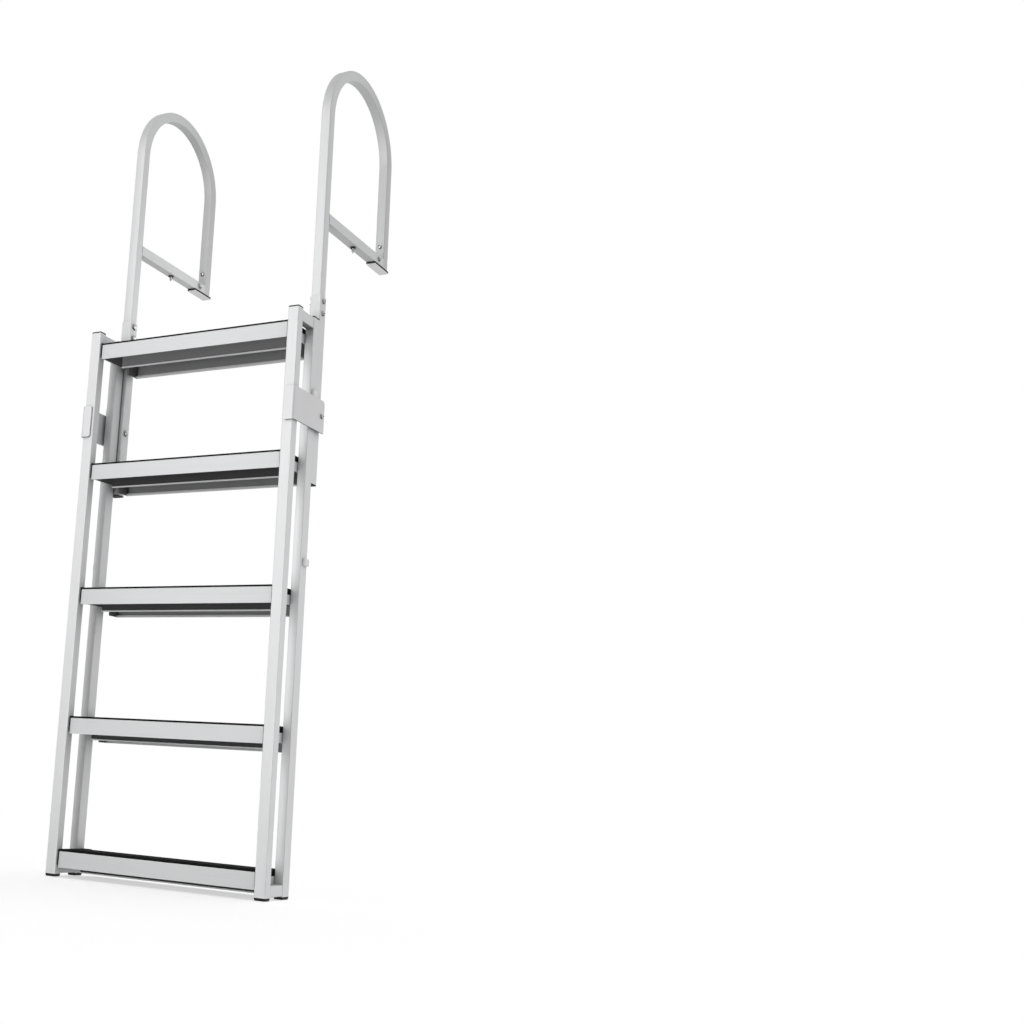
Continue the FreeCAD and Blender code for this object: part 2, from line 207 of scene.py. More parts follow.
lamps = [soft_box("front_softbox", (-0.12, -1.85, -0.32), (0.18, -0.40, -0.44),
                  width=0.85, height=3.3, watts=23.5),
         soft_box("side_softbox", (2.4, -0.30, -1.00), (0.55, -0.35, -2.20),
                  width=1.4, height=1.2, watts=7.5),
         soft_box("rail_softbox", (0.30, -0.10, -0.16), (0.0, -0.14, 0.20),
                  width=0.3, height=0.3, watts=0.34)]
print("the studio holds", len(lamps), "soft boxes")

# %% [markdown]
# The floor.
# A photographer's floor runs on without a horizon. This one is a wide disc that is plain
# white paint near the ladder, so that it takes a soft shadow, and melts into the white of
# the room farther out. The paint also glows a little from within, like a lit table, which
# keeps it pale from every side, and from below the disc is clear. The floor is no part of
# the ladder.

# %% Lay the studio floor
floor_drop = 0.0006          # floor under the rubber feet
floor_radius = 40.0
floor_corners = 96
paint_white = (0.93, 0.93, 0.93, 1.0)
paint_ends = 1.6             # white paint out to here
paint_glow = 0.54            # light shining through the paint, like a lit table
room_begins = 4.5            # and the room's own white from here
ladder_middle = sum((Vector(corner) for corner in cad_box), Vector()) / 2


def rescale(tree, value, before, after, **settings):
    return wire(tree, "ShaderNodeMapRange",
                {"Value": value, "From Min": before[0], "From Max": before[1],
                 "To Min": after[0], "To Max": after[1]}, **settings).outputs[0]


def floor_finish():
    paint = bpy.data.materials.new("studio_paint")
    paint.use_nodes = True
    tree = paint.node_tree
    tree.nodes.clear()
    place = wire(tree, "ShaderNodeTexCoord").outputs["Object"]
    reach = wire(tree, "ShaderNodeVectorMath", {0: place}, operation="LENGTH")
    melt = rescale(tree, reach.outputs["Value"], (paint_ends, room_begins), (0.0, 1.0),
                   interpolation_type="SMOOTHSTEP")
    matt = wire(tree, "ShaderNodeBsdfDiffuse", {"Color": paint_white})
    lift = wire(tree, "ShaderNodeEmission", {"Strength": paint_glow})
    paper = wire(tree, "ShaderNodeAddShader", {0: matt.outputs[0], 1: lift.outputs[0]})
    glow = wire(tree, "ShaderNodeEmission", {"Strength": 1.0})
    top = wire(tree, "ShaderNodeMixShader",
               {0: melt, 1: paper.outputs[0], 2: glow.outputs[0]})
    clear = wire(tree, "ShaderNodeBsdfTransparent")
    below = wire(tree, "ShaderNodeNewGeometry").outputs["Backfacing"]
    both = wire(tree, "ShaderNodeMixShader",
                {0: below, 1: top.outputs[0], 2: clear.outputs[0]})
    wire(tree, "ShaderNodeOutputMaterial", {"Surface": both.outputs[0]})
    return paint


def studio_floor():
    disc = bmesh.new()
    bmesh.ops.create_circle(disc, cap_ends=True, segments=floor_corners,
                            radius=floor_radius)
    mesh = bpy.data.meshes.new("studio_floor")
    disc.to_mesh(mesh)
    disc.free()
    mesh.materials.append(floor_finish())
    floor = bpy.data.objects.new("studio_floor", mesh)
    floor.location = (ladder_middle.x, ladder_middle.y, cad_box[0][2] - floor_drop)
    scene.collection.objects.link(floor)
    for kind in ("visible_diffuse", "visible_glossy", "visible_shadow"):
        setattr(floor, kind, False)
    return floor


floor = studio_floor()
print("floor at %.4f m" % floor.location.z)

# %% [markdown]
# Keeping the lamps off the floor.
# The tall soft box reaches below the floor and would draw a hard edge of light across it.
# It could be made shorter, but then the lower treads would be dim. Light linking takes the
# floor out of every soft box's reach instead.

# %% Link the lamps past the floor
def keep_off(lamp, thing):
    spared = bpy.data.collections.new("spared_by_" + lamp.name)
    spared.objects.link(thing)
    lamp.light_linking.receiver_collection = spared
    spared.collection_objects[0].light_linking.link_state = "EXCLUDE"


for lamp in lamps:
    keep_off(lamp, floor)
print("lamps that miss the floor:", [lamp.name for lamp in lamps])

# %% [markdown]
# What all finishes share.
# A finish starts from the Principled shader, which can be metal, plastic or rubber, and
# gets its colour, roughness and relief from nodes. Each finish could be wired by itself,
# but the steps repeat: shift a colour, lay one over another, draw some noise, and plug the
# results in at the end. These helpers do one step each.

# %% Helpers that every finish needs
def finish_of(name, roughness, metallic, colour):
    made = bpy.data.materials.new(name)
    made.use_nodes = True
    shader = made.node_tree.nodes["Principled BSDF"]
    shader.inputs["Metallic"].default_value = metallic
    shader.inputs["Roughness"].default_value = roughness
    shader.inputs["Base Color"].default_value = (*colour, 1.0)
    made.diffuse_color = (*colour, 1.0)
    return made, made.node_tree, shader


def toned(colour, factor=1.0):
    return tuple(min(1.0, part * factor) for part in colour) + (1.0,)


def blend_colours(tree, share, one, other):
    mixed = wire(tree, "ShaderNodeMix", {0: share, 6: one, 7: other}, data_type="RGBA")
    return mixed.outputs[2]


def noise(tree, place, scale, detail, roughness=0.5):
    return wire(tree, "ShaderNodeTexNoise",
                {"Vector": place, "Scale": scale, "Detail": detail,
                 "Roughness": roughness}).outputs[0]


def plug_in(tree, shader, colour, roughness, height, strength, distance):
    relief = wire(tree, "ShaderNodeBump",
                  {"Height": height, "Strength": strength, "Distance": distance}).outputs[0]
    tree.links.new(colour, shader.inputs["Base Color"])
    tree.links.new(roughness, shader.inputs["Roughness"])
    tree.links.new(relief, shader.inputs["Normal"])


print("mid grey, a tenth paler:", toned((0.5, 0.5, 0.5), 1.1))

# %% [markdown]
# Finding edges, corners and undersides.
# Wear isn't spread evenly, and neither is shade: edges are rubbed bright, while shade is
# painted into the colour of inner corners, of undersides and of the rails' rear legs.
# Painting that by hand would tie it to one mesh. Masks find such places by themselves. A
# Bevel node finds the edges: its rounded normal leaves the real one there. An Ambient
# Occlusion node finds inner corners, because little of the open room is in reach there. The
# normal's own height finds undersides, and the depth finds the rear legs.

# %% Find edges, corners and undersides
edge_samples = 4
crease_samples = 6
crease_shade_reach = 0.030         # how far painted shade reaches out of a corner
boxed_in, wide_open = 0.35, 0.97         # shares of the open room in reach
straight_down, nearly_level = -0.90, -0.25   # heights of the normal
fade_length = 0.20           # from where the painted shade begins on a rail to its darkest


def edge_mask(tree, radius, gain):
    rounded = wire(tree, "ShaderNodeBevel", {"Radius": radius}, samples=edge_samples)
    straight = wire(tree, "ShaderNodeNewGeometry").outputs["Normal"]
    agree = wire(tree, "ShaderNodeVectorMath", {0: rounded.outputs[0], 1: straight},
                 operation="DOT_PRODUCT").outputs["Value"]
    return rescale(tree, agree, (1.0, 1.0 - gain), (0.0, 1.0))


# Strength of the painted shade in inner corners, where little of the room is in reach.
def crease_shade_mask(tree, reach, strength):
    open_share = wire(tree, "ShaderNodeAmbientOcclusion", {"Distance": reach},
                      samples=crease_samples).outputs["AO"]
    return rescale(tree, open_share, (boxed_in, wide_open), (strength, 0.0))


# Strength of the painted shade on faces that point down.
def faces_down(tree, strength):
    facing = wire(tree, "ShaderNodeNewGeometry").outputs["Normal"]
    height = wire(tree, "ShaderNodeSeparateXYZ", {0: facing}).outputs["Z"]
    return rescale(tree, height, (straight_down, nearly_level), (strength, 0.0))


# Strength of the painted shade that grows toward the rear.
def farther_back(tree, start, strength):
    place = wire(tree, "ShaderNodeTexCoord").outputs["Object"]
    depth = wire(tree, "ShaderNodeSeparateXYZ", {0: place}).outputs["Y"]
    return rescale(tree, depth, (start, start + fade_length), (0.0, strength))


print("grime reaches %.0f mm out of a corner" % (crease_shade_reach * 1000))

# %% [markdown]
# The inside of a tread.
# Under its top a tread is open: a front, a middle and a rear flange hang down and shade
# each other. That shade is painted into the colour of the metal in there: darker than the
# outside, and lighter under the first tread than under the others.
# The treads are one family of equal solids, one pitch apart. A modulo of the height
# therefore tells how far below its own top a point lies, for all five treads with one
# finish.

# %% Find the inner faces of the treads
tread_low, tread_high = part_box("tread_1")
tread_pitch = tread_high.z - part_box("tread_2")[1].z
flange_wall = 0.0026
front_skin, rear_skin = 0.80, 0.95       # shares of that wall that count as outside
bead_height = 0.0060         # room for the beads along the flanges' lower edges
rib_zone = 0.0900            # middle rib in front of this, the rear flange behind it
shade_from, shade_to = 0.004, 0.045      # below the top of the tread
deepest_light = 0.42         # what is left of the light at the lower end
# painted light on the middle rib: the lower treads darker, the first tread lighter
low_rib_light, high_rib_light = 0.5, 1.6     # second tread and lower, first tread
rear_flange_light = 1.12


def all_of(tree, tests):
    share = None
    for operation, value, limit in tests:
        passed = figure(tree, operation, value, limit)
        share = passed if share is None else figure(tree, "MULTIPLY", share, passed)
    return share


def drop_below_top(tree, height):
    drop = figure(tree, "SUBTRACT", tread_high.z, height)
    return figure(tree, "FLOORED_MODULO", drop, tread_pitch)


def within_flanges(tree, place):
    apart = wire(tree, "ShaderNodeSeparateXYZ", {0: place})
    depth, height = apart.outputs["Y"], apart.outputs["Z"]
    drop = drop_below_top(tree, height)
    share = all_of(tree, [
        ("LESS_THAN", drop, tread_high.z - tread_low.z - bead_height),
        ("GREATER_THAN", depth, tread_low.y + flange_wall * front_skin),
        ("LESS_THAN", depth, tread_high.y - flange_wall * rear_skin)])
    lower = rescale(tree, drop, (shade_from, shade_to), (1.0, deepest_light))
    upper = rescale(tree, height, (tread_high.z - tread_pitch, tread_low.z),
                    (low_rib_light, high_rib_light))
    rib = figure(tree, "MULTIPLY", lower, upper)
    behind = figure(tree, "GREATER_THAN", depth, tread_low.y + rib_zone)
    light = wire(tree, "ShaderNodeMix", {0: behind, 2: rib, 3: rear_flange_light})
    return share, light.outputs[0]


print("treads are %.1f mm apart" % (1000 * tread_pitch))

# %% [markdown]
# Drawn aluminium.
# Tubes and treads are pressed through a steel die and then anodised. The die leaves faint
# straight lines along the length, and the anodising a soft cloudy sheen. The lines are
# noise stretched far along one axis. They feed the bump and the roughness, not the colour,
# because on metal they are seen only where light rakes across them. One function makes all
# the drawn finishes and paints shade into their colour: in inner corners, inside the
# treads, on the undersides of plates and tubes, and on the rear legs of the rails.

# %% Draw aluminium
noise_band = (0.3, 0.7)      # nearly all noise lies between these
cloud_scale = 7.0            # clouds per metre, more or less
cloud_haze = 0.12            # roughness that the clouds add
tube_edge = 0.0012           # width of the rubbed edges
edge_gain = 0.12
edge_polish = -0.12          # roughness that rubbing takes away
# painted shade on the rear legs of the rails, darker farther back
rear_leg_shade = 0.20
dull_tone, pale_tone = 0.93, 1.05        # of the clouds, as shares of the metal's colour
worn_tone, painted_shade_tone = 1.10, 0.34       # of worn edges, and of painted shade in corners, on undersides and on rear legs
line_depth = 0.00012


def drawn_aluminium(name, stretch, colour, roughness, metallic=0.70, source="Object",
                    shaded=None, underside_shade=0.0, rear_shade_from=None, crease_shade=0.60):
    made, tree, shader = finish_of(name, roughness, metallic, colour)
    place = wire(tree, "ShaderNodeTexCoord").outputs[source]
    drawn = wire(tree, "ShaderNodeMapping", {"Vector": place, "Scale": stretch}).outputs[0]
    die_lines = noise(tree, drawn, scale=1.0, detail=4.0, roughness=0.65)
    clouds = noise(tree, place, cloud_scale, detail=3.0)
    edges = edge_mask(tree, tube_edge, edge_gain)
    painted_shade = toned(colour, painted_shade_tone)
    shown = blend_colours(tree, clouds, toned(colour, dull_tone), toned(colour, pale_tone))
    shown = blend_colours(tree, edges, shown, toned(colour, worn_tone))
    # Painted shade: inner corners are darkened toward the shade colour.
    shown = blend_colours(tree, crease_shade_mask(tree, crease_shade_reach, crease_shade), shown, painted_shade)
    # Painted shade on faces that point down.
    if underside_shade:
        shown = blend_colours(tree, faces_down(tree, underside_shade), shown, painted_shade)
    # Painted shade on the rear legs of the rails, darker farther back.
    if rear_shade_from is not None:
        rear_shade = farther_back(tree, rear_shade_from, rear_leg_shade)
        shown = blend_colours(tree, rear_shade, shown, painted_shade)
    # Painted shade inside the treads, darker down the middle rib.
    if shaded:
        within, light = within_flanges(tree, place)
        # A mix stops at 1 and this light doesn't, so: half of it, over twice the colour.
        half_light = figure(tree, "MULTIPLY", light, 0.5)
        inside = blend_colours(tree, half_light, toned(shaded, 0.0), toned(shaded, 2.0))
        shown = blend_colours(tree, within, shown, inside)
    lines = rescale(tree, die_lines, noise_band, (roughness - 0.05, roughness + 0.07))
    cloudy = figure(tree, "MULTIPLY_ADD", clouds, cloud_haze, lines)
    polished = figure(tree, "MULTIPLY_ADD", edges, edge_polish, cloudy)
    plug_in(tree, shader, shown, polished, die_lines, strength=0.22, distance=line_depth)
    return made


print("rubbed edges are %.1f mm wide" % (1000 * tube_edge))

# %% [markdown]
# One aluminium for each family.
# The families differ in which way they were drawn, so each gets its own stretch: tight
# across the grain, loose along it. Rails are drawn along their bend, so they read the flat
# map that the sweep below writes. Foot plates are brighter and mirror the pale floor.

# %% Make the aluminium finishes
across = 950.0               # lines per metre, more or less, across the grain
along = 2.5                  # and along it
silver = (0.86, 0.865, 0.87)
satin = 0.60                 # roughness of most of them
upright_alu = drawn_aluminium("upright_aluminium", (across, across, along), silver, satin)
tread_alu = drawn_aluminium("tread_aluminium", (along, across, across),
                            (0.77, 0.775, 0.78), satin, shaded=(0.36, 0.36, 0.366))
reach_alu = drawn_aluminium("dock_tube_aluminium", (across, along, across), silver, satin,
                            underside_shade=0.18)
spacer_alu = drawn_aluminium("spacer_aluminium", (across, along, across), silver, satin,
                             underside_shade=0.80)
rail_alu = drawn_aluminium("rail_aluminium", (across, along, 1.0), silver, roughness=0.58,
                           source="UV", rear_shade_from=-0.20, underside_shade=0.18)
plate_alu = drawn_aluminium("bracket_aluminium", (across, along * 3, across * 0.6),
                            (0.85, 0.85, 0.86), satin, underside_shade=0.85, crease_shade=0.22)
foot_alu = drawn_aluminium("foot_plate_aluminium", (across, along * 2, across),
                           (0.99, 0.99, 0.99), roughness=0.42, metallic=1.0)
print("aluminium finishes:", len([m for m in bpy.data.materials if "aluminium" in m.name]))

# %% [markdown]
# Stainless steel.
# The bolts are stainless steel, turned and bright, with painted shade where they meet the
# tube and on their undersides. At this size the tool marks only soften the mirror, so fine
# noise in the bump is enough. Faint stains vary the colour and the roughness together.

# %% Turn steel
tool_mark_scale = 2600.0
tool_mark_depth = 0.00005
stain_scale = 160.0
stained_tone, rubbed_tone, bolt_painted_shade_tone = 0.86, 1.15, 0.08
bolt_crease_shade_reach = 0.006          # how far painted shade reaches round a bolt


def turned_steel(name, colour, roughness):
    made, tree, shader = finish_of(name, roughness, 1.0, colour)
    place = wire(tree, "ShaderNodeTexCoord").outputs["Object"]
    tool_marks = noise(tree, place, tool_mark_scale, detail=2.0)
    stains = noise(tree, place, stain_scale, detail=3.0)
    edges = edge_mask(tree, radius=0.0006, gain=0.15)
    painted_shade = toned(colour, bolt_painted_shade_tone)
    shown = blend_colours(tree, stains, toned(colour, stained_tone), toned(colour))
    shown = blend_colours(tree, edges, shown, toned(colour, rubbed_tone))
    # Painted shade where a bolt meets the tube and on its undersides.
    shown = blend_colours(tree, crease_shade_mask(tree, bolt_crease_shade_reach, strength=0.95), shown, painted_shade)
    shown = blend_colours(tree, faces_down(tree, strength=0.9), shown, painted_shade)
    stained = rescale(tree, stains, noise_band, (roughness - 0.05, roughness + 0.10))
    plug_in(tree, shader, shown, stained, tool_marks, strength=0.15,
            distance=tool_mark_depth)
    return made


bolt_steel = turned_steel("bolt_steel", (0.86, 0.86, 0.85), 0.20)
print("steel finish:", bolt_steel.name)

# %% [markdown]
# Plastic and rubber.
# The stile caps, the plates at the ends of the treads, the pads on the foot plates and the
# post plugs are black moulded plastic with a fine spark-eroded grain. Inside a tread the
# end plates are painted grey, a painted reflection of the bright metal around them. The
# stop blocks are pale nylon. The feet and the mats are rubber: rougher, a little greyer on
# top, the feet with a soft sheen. One function makes all moulded finishes, since they
# differ only in grain, shine and that painted grey.

# %% Mould plastic and rubber
end_wall = 0.0035            # plates on the ends of the treads
end_skin = 0.85              # share of that wall that counts as outside
under_top = 0.002            # the painted grey inside begins this far below the tread's top
handling_scale = 34.0        # where hands and feet leave dust
dust_band = (0.45, 0.75)
most_dust = 0.35


# Where the painted reflection goes: the inner faces of the end plates, below the top.
def between_ends(tree, place):
    low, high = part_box("tread_ends_1")
    middle = (low.x + high.x) / 2
    apart = wire(tree, "ShaderNodeSeparateXYZ", {0: place})
    off = figure(tree, "ABSOLUTE", figure(tree, "SUBTRACT", apart.outputs["X"], middle))
    drop = drop_below_top(tree, apart.outputs["Z"])
    return all_of(tree, [("LESS_THAN", off, high.x - middle - end_wall * end_skin),
                         ("GREATER_THAN", drop, under_top),
                         ("LESS_THAN", drop, high.z - low.z)])


def moulded(name, colour, rubbed, roughness, grain, depth, gloss=0.4, sheen=0.0,
            inner=None):
    made, tree, shader = finish_of(name, roughness, 0.0, colour)
    shader.inputs["Specular IOR Level"].default_value = gloss
    shader.inputs["Sheen Weight"].default_value = sheen
    place = wire(tree, "ShaderNodeTexCoord").outputs["Object"]
    spark = noise(tree, place, grain, detail=3.0)
    handling = noise(tree, place, handling_scale, detail=4.0, roughness=0.6)
    edges = edge_mask(tree, radius=0.0007, gain=0.2)
    dusty = rescale(tree, handling, dust_band, (0.0, most_dust))
    most = figure(tree, "MAXIMUM", dusty, edges)
    shown = blend_colours(tree, most, toned(colour), toned(rubbed))
    # Painted reflection: the inner faces of the tread end plates turn grey.
    if inner:
        shown = blend_colours(tree, between_ends(tree, place), shown, toned(inner))
    handled = rescale(tree, handling, noise_band, (roughness - 0.07, roughness + 0.08))
    plug_in(tree, shader, shown, handled, spark, strength=0.35, distance=depth)
    return made


black, rubbed_black = (0.008, 0.008, 0.009), (0.022, 0.022, 0.023)
cap_plastic = moulded("cap_plastic", black, rubbed_black, roughness=0.50, grain=1500.0,
                      depth=0.00008, gloss=0.18)
# Black plates with a painted grey reflection on their inner faces.
end_plastic = moulded("end_plate_plastic", black, rubbed_black, roughness=0.50,
                      grain=1500.0, depth=0.00008, gloss=0.18, inner=(0.13, 0.13, 0.132))
block_nylon = moulded("stop_block_nylon", (0.92, 0.92, 0.91), (0.98, 0.98, 0.97),
                      roughness=0.30, grain=900.0, depth=0.00008)
foot_rubber = moulded("foot_rubber", (0.014, 0.014, 0.014), (0.045, 0.044, 0.042),
                      roughness=0.62, grain=800.0, depth=0.00015, gloss=0.30, sheen=0.05)
mat_rubber = moulded("mat_rubber", (0.006, 0.006, 0.0065), (0.018, 0.018, 0.018),
                     roughness=0.70, grain=1100.0, depth=0.00012, gloss=0.10)
print("finishes so far:", sorted(m.name for m in bpy.data.materials))

# %% [markdown]
# Dressing the solids.
# A solid whose shape is already right keeps its mesh and only gets a finish. Each family of
# solids shares the start of its name, so one table says which finish goes where. Sharp
# corners of solids look cut from paper, because no real edge is perfectly sharp. A Weld
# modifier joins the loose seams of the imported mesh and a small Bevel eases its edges. Both
# are modifiers, so the solid itself stays as it is.

# %% Dress the solids
weld_reach = 0.00001
sharper_than = math.radians(40.0)        # edges that the bevel eases

wardrobe = {                 # start of the name: finish, width of the eased edges
    "front_stile": (upright_alu, 0.0),
    "rear_stile": (upright_alu, 0.0),
    "top_spacer": (spacer_alu, 0.0),
    "bottom_spacer": (spacer_alu, 0.0),
    "packing_bars": (reach_alu, 0.0003),
    "post": (upright_alu, 0.0),
    "dock_tube": (reach_alu, 0.0),
    "foot_plate": (foot_alu, 0.0005),
    "foot_pad": (cap_plastic, 0.0),
    "guide_bracket": (plate_alu, 0.0),
    "stile_caps": (cap_plastic, 0.0004),
    "rubber_feet": (foot_rubber, 0.0005),
    "post_plug": (cap_plastic, 0.0004),
    "stop_blocks": (block_nylon, 0.0005),
    "tread": (tread_alu, 0.0),           # the two below then take mats and ends back
    "tread_mat": (mat_rubber, 0.0),
    "tread_ends": (end_plastic, 0.0),
}


def dress(family, finish, eased):
    worn = [name for name in frame["nodes"] if name.startswith(family)]
    for name in worn:
        solid = frame["nodes"][name]
        for slot in solid.material_slots:
            slot.material = finish
        if eased:
            weld = solid.modifiers.new("joined seams", "WELD")
            weld.merge_threshold = weld_reach
            bevel = solid.modifiers.new("eased edges", "BEVEL")
            bevel.width = eased
            bevel.segments = 2
            bevel.limit_method = "ANGLE"
            bevel.angle_limit = sharper_than
            bevel.use_clamp_overlap = True
    return len(worn)


dressed = {family: dress(family, finish, eased)
           for family, (finish, eased) in wardrobe.items()}
print("dressed:", dressed)

# %% [markdown]
# Sweeping a section.
# A bent tube could be a curve with a bevel, but a curve twists its section where it turns.
# So the mesh is swept by hand: an outline is drawn once and carried from station to
# station, and each station says where the middle is and which way the outline's two axes
# point. The sweep also writes a flat map of the tube, round it and along it in metres, so
# that the die lines follow the bend.

# %% Sweep an outline along stations
smooth_below = math.radians(32.0)        # flatter edges than this are shaded smooth
quarter_turn = math.radians(90.0)


def smooth_shade(mesh):
    mesh.update()
    mesh.polygons.foreach_set("use_smooth", [True] * len(mesh.polygons))
    mesh.set_sharp_from_angle(angle=smooth_below)


def rounded_square(side, corner, steps):
    outline = []
    half = side / 2 - corner
    turns = ((half, half), (-half, half), (-half, -half), (half, -half))
    for quarter, (a, b) in enumerate(turns):
        for step in range(steps + 1):
            angle = quarter_turn * (quarter + step / steps)
            outline.append((a + corner * math.cos(angle), b + corner * math.sin(angle)))
    return outline


def lengths_so_far(points):
    so_far = [0.0]
    for one, two in zip(points, points[1:]):
        so_far.append(so_far[-1] + math.dist(one, two))
    return so_far


def swept_tube(name, outline, stations, finish):
    count = len(outline)
    points = []
    for middle, sideways, outward in stations:
        points += [middle + sideways * a + outward * b for a, b in outline]
    round_it = lengths_so_far(outline + outline[:1])
    down_it = lengths_so_far([station[0] for station in stations])
    faces = []
    flat_map = []
    for row in range(len(stations) - 1):
        for i in range(count):
            j = (i + 1) % count
            faces.append((row * count + i, row * count + j,
                          (row + 1) * count + j, (row + 1) * count + i))
            left, right = round_it[i], round_it[i + 1]
            flat_map += [(left, down_it[row]), (right, down_it[row]),
                         (right, down_it[row + 1]), (left, down_it[row + 1])]
    for row, turned in ((0, True), (len(stations) - 1, False)):
        lid = [row * count + i for i in range(count)]
        faces.append(tuple(reversed(lid)) if turned else tuple(lid))
        flat_map += [(0.0, down_it[row])] * count
    mesh = bpy.data.meshes.new(name)
    mesh.from_pydata(points, [], faces)
    layer = mesh.uv_layers.new(name="round_and_along")
    for corner, pair in enumerate(flat_map):
        layer.data[corner].uv = pair
    smooth_shade(mesh)
    mesh.materials.append(finish)
    piece = bpy.data.objects.new(name, mesh)
    scene.collection.objects.link(piece)
    return piece


print("six steps a corner make", len(rounded_square(1.0, 0.1, 6)), "points")

# %% [markdown]
# The hooped rails.
# Each handrail is one square tube with rounded corners, bent over a former into a hoop: up
# the front leg, round the half circle and down the rear leg. All its sizes come from the
# solid that it stands in for, which stays in the model for collision.

# %% Sweep the rails
rail_corner = 0.0025         # outer corner radius of the square tube
corner_steps = 6
arch_steps = 120


def hoop_stations(side):
    low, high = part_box("handrail_" + side)
    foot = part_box("dock_tube_" + side)[0].z
    width = high.x - low.x
    x = (low.x + high.x) / 2
    front, rear = low.y + width / 2, high.y - width / 2
    radius = (rear - front) / 2
    centre = Vector((x, (front + rear) / 2, high.z - width / 2 - radius))
    sideways = Vector((1.0, 0.0, 0.0))
    stations = [(Vector((x, front, low.z)), sideways, Vector((0.0, -1.0, 0.0)))]
    for step in range(arch_steps + 1):
        angle = math.pi * step / arch_steps
        outward = Vector((0.0, -math.cos(angle), math.sin(angle)))
        stations.append((centre + outward * radius, sideways, outward))
    stations.append((Vector((x, rear, foot)), sideways, Vector((0.0, 1.0, 0.0))))
    return stations, width


for side in ("left", "right"):
    stations, rail_width = hoop_stations(side)
    outline = rounded_square(rail_width, rail_corner, corner_steps)
    rail = swept_tube("hooped_rail_" + side, outline, stations, rail_alu)
    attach(rail, "dock_frame")
    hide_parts("handrail_" + side)
print("rails swept with", len(rail.data.polygons), "faces each")

# %% [markdown]
# The lip of each mat.
# Along the front of a tread, where a foot first lands, its rubber mat has a raised lip. It
# is the dark line above each tread in a front view. The solid mats have ribs only, so a
# square bar with rounded corners is swept along each, a touch proud of the mat's own edge.

# %% Sweep the lips of the mats
lip_side = 0.0036
lip_corner = 0.0007
lip_corner_steps = 3
lip_proud = 0.0001
lip_below_ribs = 0.0007

for number in range(1, 6):
    low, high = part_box("tread_mat_%d" % number)
    y, z = low.y - lip_proud + lip_side / 2, high.z - lip_below_ribs - lip_side / 2
    upward, rearward = Vector((0.0, 0.0, 1.0)), Vector((0.0, 1.0, 0.0))
    stations = [(Vector((x, y, z)), upward, rearward)
                for x in (low.x + lip_proud, high.x - lip_proud)]
    outline = rounded_square(lip_side, lip_corner, lip_corner_steps)
    lip = swept_tube("mat_lip_%d" % number, outline, stations, mat_rubber)
    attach(lip, "ladder")
print("mat lips, each %.3f m long" % (high.x - low.x))

# %% [markdown]
# Turned shapes.
# Bolts are what tells a real product from a toy. They are all turned shapes: seen along the
# axis, each height has an outline, round or six-sided. So a fastener is a stack of rings,
# and each ring gives a radius and a height for every angle.

# %% Stack rings into a turned shape
turn_steps = 48


def six_sided(flats, angle):
    wedge = (angle + math.pi / 6) % (math.pi / 3) - math.pi / 6
    return flats / 2 / math.cos(wedge)


def level_ring(radius, height):
    return lambda angle: (radius, height)


def turned_rings(rings):
    points = []
    faces = []
    for ring in rings:
        for step in range(turn_steps):
            angle = 2 * math.pi * step / turn_steps
            radius, height = ring(angle)
            points.append(Vector((radius * math.cos(angle), radius * math.sin(angle),
                                  height)))
    for row in range(len(rings) - 1):
        for i in range(turn_steps):
            j = (i + 1) % turn_steps
            faces.append((row * turn_steps + i, row * turn_steps + j,
                          (row + 1) * turn_steps + j, (row + 1) * turn_steps + i))
    faces.append(tuple(reversed(range(turn_steps))))
    top = (len(rings) - 1) * turn_steps
    faces.append(tuple(range(top, top + turn_steps)))
    return points, faces


corner_reach = 2 * six_sided(1.0, math.radians(30.0))
print("hexagon corners stand out %.2f times the flats" % corner_reach)

# %% [markdown]
# Washers, hexagons, domes and heads.
# Each of these is only a few rings. A washer has its edges eased by a quarter of its
# thickness. A chamfered hexagon comes from the same idea as a real one: the flats stand at
# a fixed distance, and a cone cuts their corners off. A socket head is a shoulder that
# curves in, then the mouth, edge and floor of the key's hole.

# %% Shape washers, hexagons, domes and heads
cone_slope = math.tan(math.radians(30.0))
crown_share = 0.96           # round top of a hexagon, as a share of its flats
shoulder_shares = (0.25, 0.5, 0.7, 0.85)     # of the quarter turn up a head's shoulder
shoulder_pull = 0.62         # how much of that turn pulls the radius in


def washer(radius, thickness, base):
    eased = thickness * 0.25
    return turned_rings([level_ring(radius - eased, base), level_ring(radius, base + eased),
                         level_ring(radius, base + thickness - eased),
                         level_ring(radius - eased, base + thickness)])


def hexagon(flats, height, base):
    crown = flats / 2 * crown_share

    def wall(angle):
        radius = six_sided(flats, angle)
        return radius, base + height - max(0.0, radius - crown) * cone_slope

    return turned_rings([lambda angle: (six_sided(flats, angle), base), wall,
                         level_ring(crown, base + height)])


def dome(radius, height, base, steps=7):
    rings = [level_ring(radius, base)]
    for step in range(1, steps):
        angle = quarter_turn * step / steps
        rings.append(level_ring(radius * math.cos(angle), base + height * math.sin(angle)))
    return turned_rings(rings)


def socket_head(radius, height, base, key):
    rings = [level_ring(radius, base)]
    for share in shoulder_shares:
        angle = quarter_turn * share
        rings.append(level_ring(radius * math.cos(angle * shoulder_pull),
                                base + height * math.sin(angle)))
    for wider, level in ((1.06, 1.0), (1.0, 0.95), (1.0, 0.35)):     # mouth, edge and floor
        rings.append(lambda angle, wider=wider, level=level:
                     (six_sided(key, angle) * wider, base + height * level))
    return turned_rings(rings)


print("a hexagon has", len(hexagon(0.01, 0.005, 0.0)[1]), "faces")

# %% [markdown]
# Threads.
# A thread is a ridge that climbs one pitch in a turn. In a stack of rings it needs no screw
# modifier: the radius at a place depends on how far its height is from the ridge there.

# %% Cut a thread
rows_per_turn = 8
thinnest_point = 0.0004


